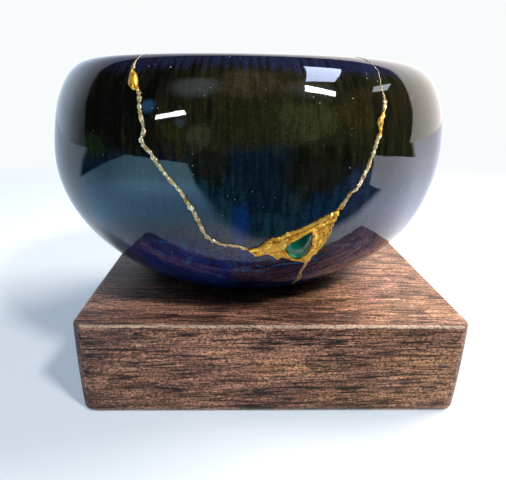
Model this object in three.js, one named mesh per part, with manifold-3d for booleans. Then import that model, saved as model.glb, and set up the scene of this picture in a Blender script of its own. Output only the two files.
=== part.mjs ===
// A dark glazed bowl with a curled-in lip. A wedge-shaped shard broke out of its front and is held
// in again by gold seams, which meet low down in a gold setting with a green stone. The bowl stands
// on its own walnut plinth. Millimetres, +Z up, front towards -Y. The origin is the centre of the
// plinth's underside.
import * as THREE from 'three';
import { mergeVertices } from 'three/addons/utils/BufferGeometryUtils.js';
import Module from 'manifold-3d';

const manifold = await Module();
manifold.setup();

// Walnut plinth: a square blank with eased edges, sanded in a little towards its foot.
const plinth = { side: 102, height: 26, cornerRadius: 4, easedEdge: 0.8, pulledIn: 0.7 };

// Bowl, with heights from the plinth's top. It was made by hand, so its right and left walls
// differ, and every place between them is a blend of the two.
const bowlCentreX = -7.5;
const rightWall = {
  footRadius: 27.0, footSlope: 15, footReach: 10.3,
  beltRadius: 60.3, beltHeight: 40.5, belowBelt: 25.8, aboveBelt: 14.7,
  lipRadius: 46.9, lipHeight: 64.3, lipReach: 9.6,
};
const leftWall = {
  footRadius: 29.2, footSlope: 27, footReach: 8.7,
  beltRadius: 57.6, beltHeight: 38.0, belowBelt: 21.4, aboveBelt: 13.3,
  lipRadius: 46.4, lipHeight: 63.4, lipReach: 6.6,
};
const lipSlope = 6;            // degrees by which the wall still rises where it ends in the lip
const lipThickness = 3.4;
const footThickness = 6.5;     // the wall thickens evenly from the lip down to the foot
const floorHeight = 5.5;       // the inside is lowest at its middle
const floorBend = { out: 0.55, rise: 0.2 };    // where the floor bends up, as shares of its edge
const footRing = { width: 5, recess: 1.5 };
const turnSegments = 64;
const wallSegments = 8;        // rings in the wall's lower curve, and again in its upper one
const lipSegments = 5;
const eggSegments = { around: 20, along: 12 };

// The mend. Places on the outer wall are [angle, height]: degrees from the front towards +X, and
// mm above the plinth's top. Every cut through the wall runs straight from one point inside.
const cutCentreHeight = 40;
const clearance = 0.3;         // between pieces that are cut by each other
const seamHalfWidth = 0.45;
const seamProud = 0.35;        // how far the gold stands out of the glaze, outside and inside
const settingProud = 0.8;
const stoneRim = { width: 0.7, proud: 1.2 };
const leftSeam = [
  [-29.2, 62.6], [-28.0, 59.4], [-26.2, 57.0], [-24.4, 55.2], [-23.6, 51.2], [-22.6, 48.2],
  [-22.9, 45.6], [-20.7, 43.0], [-17.5, 39.0], [-13.8, 35.0], [-12.4, 32.4], [-10.8, 29.4],
  [-9.4, 25.4], [-7.4, 23.4], [-4.8, 22.4], [-2.2, 22.3], [0.4, 21.3],
];
const settingTop = [
  [3.0, 22.1], [4.3, 23.5], [5.8, 24.7], [7.9, 25.0], [9.2, 26.0], [13.9, 27.8], [18.9, 30.4],
];
const settingBottom = [
  [2.8, 19.2], [5.6, 20.0], [8.2, 18.3], [9.2, 19.0], [13.9, 17.4], [17.0, 16.6],
  [18.6, 20.2], [19.9, 23.4], [20.4, 27.6],
];
const rightSeam = [
  [21.2, 31.4], [22.3, 33.6], [24.4, 35.7], [26.3, 39.4], [27.7, 42.7], [28.9, 46.0],
  [29.9, 49.6], [31.5, 53.0], [31.9, 56.6], [32.6, 59.6], [34.0, 62.0],
];
const tail = [
  { place: [16.6, 18.6], halfWidth: 0.9 }, { place: [16.8, 15.2], halfWidth: 0.7 },
  { place: [17.4, 12.8], halfWidth: 0.6 }, { place: [18.9, 9.6], halfWidth: 1.3 },
  { place: [20.2, 7.4], halfWidth: 0.5 }, { place: [19.6, 5.4], halfWidth: 0.3 },
];
const tailDepth = 0.8;
const stoneOutline = [
  [9.4, 22.2], [10.2, 20.0], [11.6, 18.6], [13.5, 18.0], [15.2, 18.6], [16.1, 20.0],
  [16.0, 22.0], [15.5, 24.3], [14.7, 25.6], [13.4, 25.5], [11.8, 24.6], [10.0, 23.7],
];
const stoneSeat = 2.6;         // depth of the stone's underside below the bowl's surface
const stoneDome = { middle: [12.9, 21.8], across: 4.3, along: 5.4, out: 3.4, sunk: 2.2 };
const goldPods = [
  { place: [-26.8, 57.7], across: 1.2, along: 2.7, out: 1.0, lean: 24 },
  { place: [29.9, 49.9], across: 0.8, along: 1.3, out: 0.8, lean: -18 },
];

const { degToRad, radToDeg, lerp } = THREE.MathUtils;

// ---- the bowl's profile ----

function outerWall(wall) {
  const foot = new THREE.Vector2(wall.footRadius, 0);
  const footDirection = new THREE.Vector2(1, 0).rotateAround(new THREE.Vector2(), degToRad(wall.footSlope));
  const belt = new THREE.Vector2(wall.beltRadius, wall.beltHeight);
  const lip = new THREE.Vector2(wall.lipRadius, wall.lipHeight);
  const lipDirection = new THREE.Vector2(1, 0).rotateAround(new THREE.Vector2(), degToRad(-lipSlope));
  const lower = new THREE.CubicBezierCurve(
    foot,
    foot.clone().addScaledVector(footDirection, wall.footReach),
    new THREE.Vector2(belt.x, belt.y - wall.belowBelt),
    belt,
  );
  const upper = new THREE.CubicBezierCurve(
    belt,
    new THREE.Vector2(belt.x, belt.y + wall.aboveBelt),
    lip.clone().addScaledVector(lipDirection, wall.lipReach),
    lip,
  );
  return [...lower.getPoints(wallSegments), ...upper.getPoints(wallSegments).slice(1)];
}

// The unit vector that points out of a wall, to the right of its direction of travel.
function outwardAt(points, index) {
  const before = points[Math.max(index - 1, 0)];
  const after = points[Math.min(index + 1, points.length - 1)];
  const along = after.clone().sub(before).normalize();
  return new THREE.Vector2(along.y, -along.x);
}

function innerWall(outer) {
  return outer.map((point, index) => {
    const thickness = lerp(footThickness, lipThickness, index / (outer.length - 1));
    return point.clone().addScaledVector(outwardAt(outer, index), -thickness);
  });
}

function lipArc(outerEnd, innerEnd) {
  const middle = outerEnd.clone().add(innerEnd).multiplyScalar(0.5);
  const arc = [];
  for (let step = 1; step < lipSegments; step += 1) {
    arc.push(outerEnd.clone().rotateAround(middle, Math.PI * step / lipSegments));
  }
  return arc;
}

// The whole section, from the middle of the underside round the wall to the middle of the floor.
function bowlSection(wall) {
  const outer = outerWall(wall);
  const inner = innerWall(outer).reverse();
  const ringInside = wall.footRadius - footRing.width;
  return [
    new THREE.Vector2(0, footRing.recess),
    new THREE.Vector2(ringInside - footRing.recess, footRing.recess),
    new THREE.Vector2(ringInside, 0),
    ...outer,
    ...lipArc(outer.at(-1), inner[0]),
    ...inner,
    new THREE.Vector2(inner.at(-1).x * floorBend.out, lerp(floorHeight, inner.at(-1).y, floorBend.rise)),
    new THREE.Vector2(0, floorHeight),
  ];
}

// The section without its hollow: the wall's outside, closed flat at the lip.
function blockSection(wall) {
  return [new THREE.Vector2(0, 0), ...outerWall(wall), new THREE.Vector2(0, wall.lipHeight)];
}

function grownSection(section, distance) {
  return section.map((point, index) => {
    if (point.x === 0) {
      return new THREE.Vector2(0, point.y + (index === 0 ? -distance : distance));
    }
    return point.clone().addScaledVector(outwardAt(section, index), distance);
  });
}

// ---- places on the bowl ----

// Share of the right wall's shape at an angle from the front.
function rightShare(angle) {
  return (1 + Math.sin(degToRad(angle))) / 2;
}

function radiusOnWall(wallPoints, height) {
  const above = Math.max(1, wallPoints.findIndex((point) => point.y >= height));
  const low = wallPoints[above - 1];
  const high = wallPoints[above];
  return lerp(low.x, high.x, (height - low.y) / (high.y - low.y));
}

const rightOutside = outerWall(rightWall);
const leftOutside = outerWall(leftWall);

function radiusAt(angle, height) {
  return lerp(radiusOnWall(leftOutside, height), radiusOnWall(rightOutside, height), rightShare(angle));
}

// Degrees above the cut centre of a place on the outer wall.
function elevationOf([angle, height]) {
  return radToDeg(Math.atan2(height - cutCentreHeight, radiusAt(angle, height)));
}

function fromCutCentre(angle, elevation, distance) {
  const reach = distance * Math.cos(degToRad(elevation));
  return new THREE.Vector3(
    bowlCentreX + reach * Math.sin(degToRad(angle)),
    -reach * Math.cos(degToRad(angle)),
    plinth.height + cutCentreHeight + distance * Math.sin(degToRad(elevation)),
  );
}

// Moves each place of a path sideways, to the left of its direction of travel, by a distance in mm.
function shiftedPath(path, distances) {
  const mmPerDegree = degToRad(1) * rightWall.beltRadius;
  return path.map(([angle, height], index) => {
    const before = path[Math.max(index - 1, 0)];
    const after = path[Math.min(index + 1, path.length - 1)];
    const across = (after[0] - before[0]) * mmPerDegree;
    const up = after[1] - before[1];
    const length = Math.hypot(across, up);
    const distance = Array.isArray(distances) ? distances[index] : distances;
    return [angle - distance * up / length / mmPerDegree, height + distance * across / length];
  });
}

// ---- solids ----

function solidFrom(geometry) {
  geometry.deleteAttribute('normal');
  geometry.deleteAttribute('uv');
  const merged = mergeVertices(geometry);
  const triangles = [];
  for (let start = 0; start < merged.index.count; start += 3) {
    const corners = [0, 1, 2].map((corner) => merged.index.getX(start + corner));
    if (new Set(corners).size === 3) {
      triangles.push(...corners);
    }
  }
  return new manifold.Manifold(new manifold.Mesh({
    numProp: 3,
    vertProperties: new Float32Array(merged.attributes.position.array),
    triVerts: new Uint32Array(triangles),
  }));
}

// Turns a right and a left section about the bowl's axis, blending one into the other on the way.
function turned(rightSection, leftSection) {
  const geometry = new THREE.LatheGeometry(rightSection, turnSegments);
  const position = geometry.attributes.position;
  for (let index = 0; index < position.count; index += 1) {
    const column = Math.floor(index / rightSection.length) % turnSegments;
    const row = index % rightSection.length;
    const turn = 2 * Math.PI * column / turnSegments;
    const share = (1 + Math.cos(turn)) / 2;
    const radius = lerp(leftSection[row].x, rightSection[row].x, share);
    const height = lerp(leftSection[row].y, rightSection[row].y, share);
    position.setXYZ(
      index,
      bowlCentreX + radius * Math.cos(turn),
      radius * Math.sin(turn),
      plinth.height + height,
    );
  }
  return solidFrom(geometry);
}

function turnedBowl(distance) {
  return turned(
    grownSection(bowlSection(rightWall), distance),
    grownSection(bowlSection(leftWall), distance),
  );
}

function turnedBlock(distance) {
  return turned(
    grownSection(blockSection(rightWall), distance),
    grownSection(blockSection(leftWall), distance),
  );
}

// A solid that spreads from the cut centre through an outline of [angle, elevation] corners.
function wedge(corners, near, far) {
  const shape = new THREE.Shape(corners.map(([angle, elevation]) => new THREE.Vector2(angle, elevation)));
  const geometry = new THREE.ExtrudeGeometry(shape, { depth: 1, steps: 1, bevelEnabled: false });
  const position = geometry.attributes.position;
  for (let index = 0; index < position.count; index += 1) {
    const distance = lerp(near, far, position.getZ(index));
    const point = fromCutCentre(position.getX(index), position.getY(index), distance);
    position.setXYZ(index, point.x, point.y, point.z);
  }
  return solidFrom(geometry);
}

const insideWall = 30;
const outsideWall = 130;

function wedgeThrough(places, near = insideWall) {
  return wedge(places.map((place) => [place[0], elevationOf(place)]), near, outsideWall);
}

// The wedge above an edge that runs from lip to lip: it goes on up through the lip at both ends.
function wedgeAbove(edge) {
  const aboveLip = 80;
  const corners = edge.map((place) => [place[0], elevationOf(place)]);
  const closing = [[corners.at(-1)[0], aboveLip], [corners[0][0], aboveLip]];
  return wedge([...corners, ...closing], insideWall, outsideWall);
}

// An egg lying on the wall, its middle sunk below the surface.
function eggOnWall({ place, across, along, out, sunk = 0, lean = 0 }) {
  const [angle, height] = place;
  const elevation = elevationOf(place);
  const surface = radiusAt(angle, height) / Math.cos(degToRad(elevation));
  const geometry = new THREE.SphereGeometry(1, eggSegments.around, eggSegments.along);
  geometry.scale(across, out, along);
  geometry.rotateY(degToRad(lean));
  geometry.rotateX(degToRad(-elevation));
  geometry.rotateZ(degToRad(angle));
  const middle = fromCutCentre(angle, elevation, surface - sunk);
  geometry.translate(middle.x, middle.y, middle.z);
  return solidFrom(geometry);
}

// ---- the pieces ----

const innerEdge = [
  ...shiftedPath(leftSeam, seamHalfWidth), ...settingTop, ...shiftedPath(rightSeam, seamHalfWidth),
];
const outerEdge = [
  ...shiftedPath(leftSeam, -seamHalfWidth), ...settingBottom, ...shiftedPath(rightSeam, -seamHalfWidth),
];

function tailOutline(extra) {
  const path = tail.map((stop) => stop.place);
  const widths = tail.map((stop) => stop.halfWidth + extra);
  const oneSide = shiftedPath(path, widths);
  const otherSide = shiftedPath(path, widths.map((width) => -width));
  return [...oneSide, ...otherSide.reverse()];
}

function tailSolid(extra, depth, proud) {
  const skin = turnedBlock(proud).subtract(turnedBlock(-depth));
  return skin.intersect(wedgeThrough(tailOutline(extra)));
}

function makeBody() {
  const edge = shiftedPath(outerEdge, -clearance);
  const groove = tailSolid(clearance, tailDepth + clearance, seamProud + clearance);
  return turnedBowl(0).subtract(wedgeAbove(edge)).subtract(groove);
}

function makeShard() {
  return turnedBowl(0).intersect(wedgeAbove(shiftedPath(innerEdge, clearance)));
}

function stoneWedge(extra, depth) {
  const [angle, height] = stoneDome.middle;
  const surface = radiusAt(angle, height) / Math.cos(degToRad(elevationOf(stoneDome.middle)));
  const closed = [stoneOutline.at(-1), ...stoneOutline, stoneOutline[0]];
  const places = shiftedPath(closed, -extra).slice(1, -1);
  return wedgeThrough(places, surface - depth);
}

function makeGold() {
  const seams = turnedBowl(seamProud).intersect(wedgeAbove(outerEdge).subtract(wedgeAbove(innerEdge)));
  const settingOutline = [leftSeam.at(-1), ...settingBottom, rightSeam[0], ...settingTop.slice().reverse()];
  const filled = wedgeThrough(settingOutline);
  const setting = turnedBowl(settingProud).intersect(filled);
  const rim = turnedBowl(stoneRim.proud)
    .intersect(filled)
    .intersect(stoneWedge(clearance + stoneRim.width, stoneSeat + clearance));
  const pods = goldPods.map(eggOnWall).reduce((all, pod) => all.add(pod));
  const outsideGlaze = pods.subtract(turnedBlock(clearance));
  return seams
    .add(setting)
    .add(rim)
    .add(tailSolid(0, tailDepth, seamProud))
    .add(outsideGlaze)
    .subtract(stoneWedge(clearance, stoneSeat + clearance));
}

function makeStone() {
  const { middle, across, along, out, sunk } = stoneDome;
  const dome = eggOnWall({ place: middle, across, along, out, sunk });
  return dome.intersect(stoneWedge(0, stoneSeat));
}

function roundedSquare(side, radius) {
  const half = side / 2;
  const shape = new THREE.Shape();
  shape.moveTo(half, half - radius);
  shape.absarc(half - radius, half - radius, radius, 0, Math.PI / 2);
  shape.absarc(radius - half, half - radius, radius, Math.PI / 2, Math.PI);
  shape.absarc(radius - half, radius - half, radius, Math.PI, Math.PI * 1.5);
  shape.absarc(half - radius, radius - half, radius, Math.PI * 1.5, Math.PI * 2);
  return shape;
}

function plinthGeometry() {
  const { side, height, cornerRadius, easedEdge, pulledIn } = plinth;
  const shape = roundedSquare(side - 2 * easedEdge, cornerRadius - easedEdge);
  const geometry = new THREE.ExtrudeGeometry(shape, {
    depth: height - 2 * easedEdge,
    steps: 3,
    curveSegments: 5,
    bevelSize: easedEdge,
    bevelThickness: easedEdge,
    bevelSegments: 2,
  });
  geometry.translate(0, 0, easedEdge);
  const position = geometry.attributes.position;
  for (let index = 0; index < position.count; index += 1) {
    const drop = 1 - position.getZ(index) / height;
    const share = 1 - 2 * pulledIn * drop * drop / side;
    position.setX(index, position.getX(index) * share);
    position.setY(index, position.getY(index) * share);
  }
  return geometry;
}

function geometryOf(solid) {
  const mesh = solid.getMesh();
  const geometry = new THREE.BufferGeometry();
  geometry.setAttribute('position', new THREE.BufferAttribute(mesh.vertProperties, mesh.numProp));
  geometry.setIndex(new THREE.BufferAttribute(mesh.triVerts, 1));
  geometry.computeVertexNormals();
  return geometry;
}

// ---- the object ----

const finishes = {
  glaze: new THREE.MeshStandardMaterial({ color: 0x0b1230, roughness: 0.08, metalness: 0 }),
  gold: new THREE.MeshStandardMaterial({ color: 0xd9a441, roughness: 0.35, metalness: 1 }),
  stone: new THREE.MeshStandardMaterial({ color: 0x0f6b4c, roughness: 0.15, metalness: 0 }),
  walnut: new THREE.MeshStandardMaterial({ color: 0x6b4434, roughness: 0.6, metalness: 0 }),
};

const object = new THREE.Group();

function addPiece(name, geometry, finish) {
  const mesh = new THREE.Mesh(geometry, finish);
  mesh.name = name;
  object.add(mesh);
}

addPiece('walnut_plinth', plinthGeometry(), finishes.walnut);
addPiece('bowl_body', geometryOf(makeBody()), finishes.glaze);
addPiece('front_shard', geometryOf(makeShard()), finishes.glaze.clone());
addPiece('gold_mend', geometryOf(makeGold()), finishes.gold);
addPiece('green_stone', geometryOf(makeStone()), finishes.stone);

export default object;
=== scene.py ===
import math
import random
import bmesh
import bpy
from mathutils import Matrix, Vector, noise


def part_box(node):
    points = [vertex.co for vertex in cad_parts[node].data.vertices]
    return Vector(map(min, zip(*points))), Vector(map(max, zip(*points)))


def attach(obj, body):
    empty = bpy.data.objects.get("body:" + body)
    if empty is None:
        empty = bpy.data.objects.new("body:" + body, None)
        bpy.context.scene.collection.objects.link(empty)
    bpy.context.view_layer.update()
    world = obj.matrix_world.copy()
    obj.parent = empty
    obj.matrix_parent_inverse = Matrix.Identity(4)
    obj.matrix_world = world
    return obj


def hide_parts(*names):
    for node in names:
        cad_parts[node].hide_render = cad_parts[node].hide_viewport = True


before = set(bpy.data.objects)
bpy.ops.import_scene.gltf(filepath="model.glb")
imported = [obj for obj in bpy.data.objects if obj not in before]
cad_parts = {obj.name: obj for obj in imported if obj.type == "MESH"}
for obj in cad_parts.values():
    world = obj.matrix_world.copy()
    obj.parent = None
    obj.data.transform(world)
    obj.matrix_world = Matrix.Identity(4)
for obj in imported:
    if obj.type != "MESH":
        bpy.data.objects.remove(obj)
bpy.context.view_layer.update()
mm = 0.001      # shapes are worked out in millimetres and scaled once, when a mesh is made

plinthLow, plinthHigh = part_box("walnut_plinth")
bodyLow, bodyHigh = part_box("bowl_body")


def makeObject(name, bm, smoothAngle=None):
    bmesh.ops.scale(bm, vec=(mm, mm, mm), verts=bm.verts)
    for face in bm.faces:
        face.smooth = True
    if smoothAngle is not None:
        for edge in bm.edges:
            if len(edge.link_faces) == 2:
                edge.smooth = edge.calc_face_angle(0.0) < math.radians(smoothAngle)
    mesh = bpy.data.meshes.new(name)
    bm.to_mesh(mesh)
    bm.free()
    obj = bpy.data.objects.new(name, mesh)
    bpy.context.scene.collection.objects.link(obj)
    return obj


def applyModifiers(obj):
    bpy.context.view_layer.update()
    evaluated = obj.evaluated_get(bpy.context.evaluated_depsgraph_get())
    mesh = bpy.data.meshes.new_from_object(evaluated)
    obj.modifiers.clear()
    old = obj.data
    obj.data = mesh
    mesh.name = obj.name
    bpy.data.meshes.remove(old)


def lerp(a, b, share):
    return a + (b - a) * share


camera = {
    "place": (-9.2, -155.5, 81.7),      # mm from the middle of the plinth's underside
    "downTilt": 17.56,
    "turnRight": 1.91,
    "roll": 1.09,
    "lens": 33.15,
    "sensor": 36.0,
}


def makeCamera():
    down, turn, roll = (math.radians(camera[key]) for key in ("downTilt", "turnRight", "roll"))
    ahead = Vector((math.sin(turn), math.cos(turn), 0))
    side = Vector((math.cos(turn), -math.sin(turn), 0))
    look = ahead * math.cos(down) - Vector((0, 0, math.sin(down)))
    top = ahead * math.sin(down) + Vector((0, 0, math.cos(down)))
    right = side * math.cos(roll) + top * math.sin(roll)
    up = top * math.cos(roll) - side * math.sin(roll)
    data = bpy.data.cameras.new("camera")
    data.lens = camera["lens"]
    data.sensor_width = camera["sensor"]
    data.clip_start = 0.005
    obj = bpy.data.objects.new("camera", data)
    obj.matrix_world = Matrix((
        (right.x, up.x, -look.x, camera["place"][0] * mm),
        (right.y, up.y, -look.y, camera["place"][1] * mm),
        (right.z, up.z, -look.z, camera["place"][2] * mm),
        (0, 0, 0, 1),
    ))
    bpy.context.scene.collection.objects.link(obj)
    bpy.context.scene.camera = obj


makeCamera()
print("camera set")


bowl = {
    "keptIn": 0.05,
    "axisX": -7.5,
    "right": {"footRadius": 27.0, "footSlope": 15, "footReach": 10.3, "beltRadius": 60.3,
              "beltHeight": 40.5, "belowBelt": 25.8, "aboveBelt": 14.7, "lipRadius": 46.9,
              "lipHeight": 64.3, "lipReach": 9.6},
    "left": {"footRadius": 29.2, "footSlope": 27, "footReach": 8.7, "beltRadius": 57.6,
             "beltHeight": 38.0, "belowBelt": 21.4, "aboveBelt": 13.3, "lipRadius": 46.4,
             "lipHeight": 63.4, "lipReach": 6.6},
    "lipSlope": 6,
    "lipThickness": 3.4,
    "footThickness": 6.5,
    "floorHeight": 5.5,
    "ringWidth": 5,
    "ringRecess": 1.5,
    "wallSteps": 34,        # rings in the wall's lower curve, and again in its upper one
    "lipSteps": 12,
    "turnSteps": 256,
    "cutCentre": 40,        # every break runs straight out from this height on the axis
}
plinthTop = plinthHigh.z / mm


def bezier(p0, p1, p2, p3, steps):
    points = []
    for step in range(steps + 1):
        t = step / steps
        s = 1 - t
        points.append(p0 * s**3 + p1 * 3 * s * s * t + p2 * 3 * s * t * t + p3 * t**3)
    return points


def outerWall(wall):
    slope = math.radians(wall["footSlope"])
    lipSlope = math.radians(bowl["lipSlope"])
    foot = Vector((wall["footRadius"], 0))
    belt = Vector((wall["beltRadius"], wall["beltHeight"]))
    lip = Vector((wall["lipRadius"], wall["lipHeight"]))
    afterFoot = foot + Vector((math.cos(slope), math.sin(slope))) * wall["footReach"]
    beforeLip = lip + Vector((math.cos(lipSlope), -math.sin(lipSlope))) * wall["lipReach"]
    lower = bezier(foot, afterFoot, belt - Vector((0, wall["belowBelt"])), belt, bowl["wallSteps"])
    upper = bezier(belt, belt + Vector((0, wall["aboveBelt"])), beforeLip, lip, bowl["wallSteps"])
    return lower + upper[1:]


def outwardAt(points, index):
    along = points[min(index + 1, len(points) - 1)] - points[max(index - 1, 0)]
    return Vector((along.y, -along.x)).normalized()


def bowlSection(wall):
    outer = outerWall(wall)
    last = len(outer) - 1
    inner = []
    for index, point in enumerate(outer):
        thickness = lerp(bowl["footThickness"], bowl["lipThickness"], index / last)
        inner.append(point - outwardAt(outer, index) * thickness)
    inner.reverse()
    middle = (outer[-1] + inner[0]) / 2
    spoke = outer[-1] - middle
    arc = []
    for step in range(1, bowl["lipSteps"]):
        turn = math.pi * step / bowl["lipSteps"]
        arc.append(middle + Vector((
            spoke.x * math.cos(turn) - spoke.y * math.sin(turn),
            spoke.x * math.sin(turn) + spoke.y * math.cos(turn),
        )))
    ringInside = wall["footRadius"] - bowl["ringWidth"]
    recess = bowl["ringRecess"]
    under = [Vector((0, recess)), Vector((ringInside * 0.5, recess)),
             Vector((ringInside - recess, recess)), Vector((ringInside, 0))]
    floorEdge = inner[-1]
    floor = bezier(floorEdge, floorEdge * 0.8 + Vector((0, floorEdge.y * 0.2 - 0.9)),
                   Vector((floorEdge.x * 0.3, bowl["floorHeight"])),
                   Vector((0, bowl["floorHeight"])), 10)
    return under + outer + arc + inner + floor[1:]


rightSection = bowlSection(bowl["right"])
leftSection = bowlSection(bowl["left"])
firstOuterRow = 4
wallRows = 2 * bowl["wallSteps"]
lipRow = firstOuterRow + wallRows
firstInnerRow = lipRow + bowl["lipSteps"]


def handWobble(turn, height):
    # slow swells left by the hands, in mm: outwards and upwards
    around = Vector((math.sin(turn), -math.cos(turn), height * 0.045))
    swell = noise.noise(around * 1.3 + Vector((3.1, 0.4, 7.7))) * 0.35
    ripple = noise.noise(Vector((around.x * 0.7, around.y * 0.7, height * 0.24))) * 0.07
    lift = noise.noise(around * 1.9 + Vector((9.2, 5.5, 1.3))) * 0.3 * min(1, max(0, height / 60)) ** 2
    return swell + ripple - bowl["keptIn"], lift


def placeOn(angle, row):
    # a point of the bowl in mm; angle in degrees from the front towards +X, row along the section
    low = min(int(row), len(rightSection) - 2)
    part = row - low
    turn = math.radians(angle)
    share = (1 + math.sin(turn)) / 2
    rightPoint = rightSection[low].lerp(rightSection[low + 1], part)
    leftPoint = leftSection[low].lerp(leftSection[low + 1], part)
    flat = leftPoint.lerp(rightPoint, share)
    swell, lift = handWobble(turn, flat.y)
    fade = min(1, flat.x / 20) * min(1, max(0, flat.y - 2) / 10)
    radius = flat.x + swell * fade
    return Vector((
        bowl["axisX"] + radius * math.sin(turn),
        -radius * math.cos(turn),
        plinthTop + flat.y + lift * fade,
    ))


def normalOn(angle, row):
    step = 0.25
    around = placeOn(angle + step, row) - placeOn(angle - step, row)
    along = placeOn(angle, row + step) - placeOn(angle, row - step)
    return around.cross(along).normalized()


def rowAt(angle, height):
    # the row of the outer wall at a height above the plinth's top
    share = (1 + math.sin(math.radians(angle))) / 2
    for row in range(firstOuterRow, lipRow):
        low = lerp(leftSection[row].y, rightSection[row].y, share)
        high = lerp(leftSection[row + 1].y, rightSection[row + 1].y, share)
        if height <= high:
            return row + (height - low) / (high - low)
    return lipRow


def insideRow(row):
    return firstInnerRow + lipRow - row


def onWall(angle, height, out=0.0):
    row = rowAt(angle, height)
    return placeOn(angle, row) + normalOn(angle, row) * out


def onInside(angle, height, out=0.0):
    row = insideRow(rowAt(angle, height))
    return placeOn(angle, row) + normalOn(angle, row) * out


def turnedBowl():
    bm = bmesh.new()
    rowLayer = bm.verts.layers.int.new("row")
    chain = []
    for row, point in enumerate(rightSection):
        vert = bm.verts.new((point.x, 0, point.y))
        vert[rowLayer] = row
        chain.append(vert)
    edges = [bm.edges.new(pair) for pair in zip(chain, chain[1:])]
    bmesh.ops.spin(bm, geom=chain + edges, cent=(0, 0, 0), axis=(0, 0, 1), dvec=(0, 0, 0),
                   angle=2 * math.pi, steps=bowl["turnSteps"], use_merge=True, use_duplicate=False)
    bmesh.ops.remove_doubles(bm, verts=bm.verts, dist=1e-5)
    for vert in bm.verts:
        angle = math.degrees(math.atan2(vert.co.x, -vert.co.y)) if vert.co.xy.length > 1e-4 else 0
        vert.co = placeOn(angle, vert[rowLayer])
    bmesh.ops.recalc_face_normals(bm, faces=bm.faces)
    return bm


# Places are [degrees from the front towards +X, mm above the plinth's top].
mend = {
    "seamGap": 0.12,        # half the width of the break in the glaze
    "lap": 0.35,            # how far the gold lies over the glaze round the setting
    "leftSeam": [
        [-29.2, 62.6], [-28.0, 59.4], [-26.2, 57.0], [-24.4, 55.2], [-24.0, 53.2], [-23.4, 50.8],
        [-22.5, 48.2], [-22.4, 47.0], [-23.0, 45.6], [-22.2, 44.2], [-20.7, 43.0], [-19.2, 41.0],
        [-17.5, 39.0], [-15.7, 37.0], [-13.8, 35.0], [-12.7, 33.0], [-11.9, 31.6], [-10.9, 29.6],
        [-10.2, 27.8], [-9.5, 25.6], [-8.6, 24.2], [-7.2, 23.3], [-5.0, 22.5], [-3.6, 22.6],
        [-2.2, 22.2], [-0.8, 21.9], [0.4, 21.3],
    ],
    "settingTop": [
        [3.0, 22.1], [4.3, 23.5], [5.8, 24.7], [7.9, 25.0], [9.2, 26.0], [11.6, 26.8],
        [13.9, 27.8], [16.6, 29.3], [18.9, 30.4],
    ],
    "settingBottom": [
        [2.8, 19.2], [4.2, 19.8], [5.6, 20.0], [8.2, 18.3], [9.2, 19.0], [11.4, 18.0],
        [13.9, 17.4], [17.0, 16.6], [17.7, 18.2], [18.6, 20.2], [19.8, 22.6], [20.2, 25.0],
        [20.4, 27.6],
    ],
    "rightSeam": [
        [21.2, 31.2], [21.6, 32.3], [22.3, 33.5], [22.9, 34.7], [24.4, 35.7], [25.5, 37.7],
        [26.3, 39.4], [27.1, 41.0], [27.7, 42.7], [28.4, 44.6], [28.9, 46.0], [29.7, 47.7],
        [29.9, 49.8], [30.8, 51.5], [31.4, 52.9], [31.9, 55.0], [31.9, 56.6], [32.1, 58.5],
        [33.2, 61.0],
    ],
    "tail": [[16.8, 17.0], [16.8, 15.3], [17.2, 13.2], [18.4, 11.2], [19.2, 9.4], [20.2, 8.0],
             [19.8, 6.6], [19.0, 5.6]],
    "stone": [
        [14.9, 26.7], [15.6, 25.4], [15.9, 23.9], [16.2, 22.3], [16.0, 20.8], [15.5, 19.6],
        [14.7, 18.8], [13.5, 18.5], [12.1, 18.9], [10.9, 19.7], [10.0, 20.7], [9.3, 21.9],
        [9.7, 23.2], [10.8, 24.1], [11.9, 24.8], [12.9, 25.5], [13.9, 26.1],
    ],
}
mmPerDegree = math.radians(1) * bowl["right"]["beltRadius"]


def shiftedPath(path, distance):
    # a path moved sideways on the wall, to the left of its direction of travel
    moved = []
    for index, (angle, height) in enumerate(path):
        before = path[max(index - 1, 0)]
        after = path[min(index + 1, len(path) - 1)]
        across = (after[0] - before[0]) * mmPerDegree
        up = after[1] - before[1]
        length = math.hypot(across, up)
        moved.append([angle - distance * up / length / mmPerDegree, height + distance * across / length])
    return moved


def breakEdge(seamSide, settingEdge, lapSide):
    left = shiftedPath(mend["leftSeam"], seamSide * mend["seamGap"])
    right = shiftedPath(mend["rightSeam"], seamSide * mend["seamGap"])
    return left + shiftedPath(settingEdge, lapSide * mend["lap"]) + right


def fromCutCentre(angle, elevation, distance):
    turn, rise = math.radians(angle), math.radians(elevation)
    return Vector((
        bowl["axisX"] + distance * math.cos(rise) * math.sin(turn),
        -distance * math.cos(rise) * math.cos(turn),
        plinthTop + bowl["cutCentre"] + distance * math.sin(rise),
    ))


def elevationOf(angle, height):
    place = onWall(angle, height)
    radius = math.hypot(place.x - bowl["axisX"], place.y)
    return math.degrees(math.atan2(place.z - plinthTop - bowl["cutCentre"], radius))


def wedgeAbove(name, edge, near=30, far=130, aboveLip=80):
    # a solid that spreads from the cut centre through everything above an edge from lip to lip
    corners = [(angle, elevationOf(angle, height)) for angle, height in edge]
    corners += [(corners[-1][0], aboveLip), (corners[0][0], aboveLip)]
    bm = bmesh.new()
    face = bm.faces.new([bm.verts.new((angle, elevation, 0)) for angle, elevation in corners])
    made = bmesh.ops.extrude_face_region(bm, geom=[face])
    for vert in [item for item in made["geom"] if isinstance(item, bmesh.types.BMVert)]:
        vert.co.z = 1
    bmesh.ops.triangulate(bm, faces=bm.faces, ngon_method="EAR_CLIP")
    for vert in bm.verts:
        vert.co = fromCutCentre(vert.co.x, vert.co.y, lerp(near, far, vert.co.z))
    bmesh.ops.recalc_face_normals(bm, faces=bm.faces)
    return makeObject(name, bm)


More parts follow.
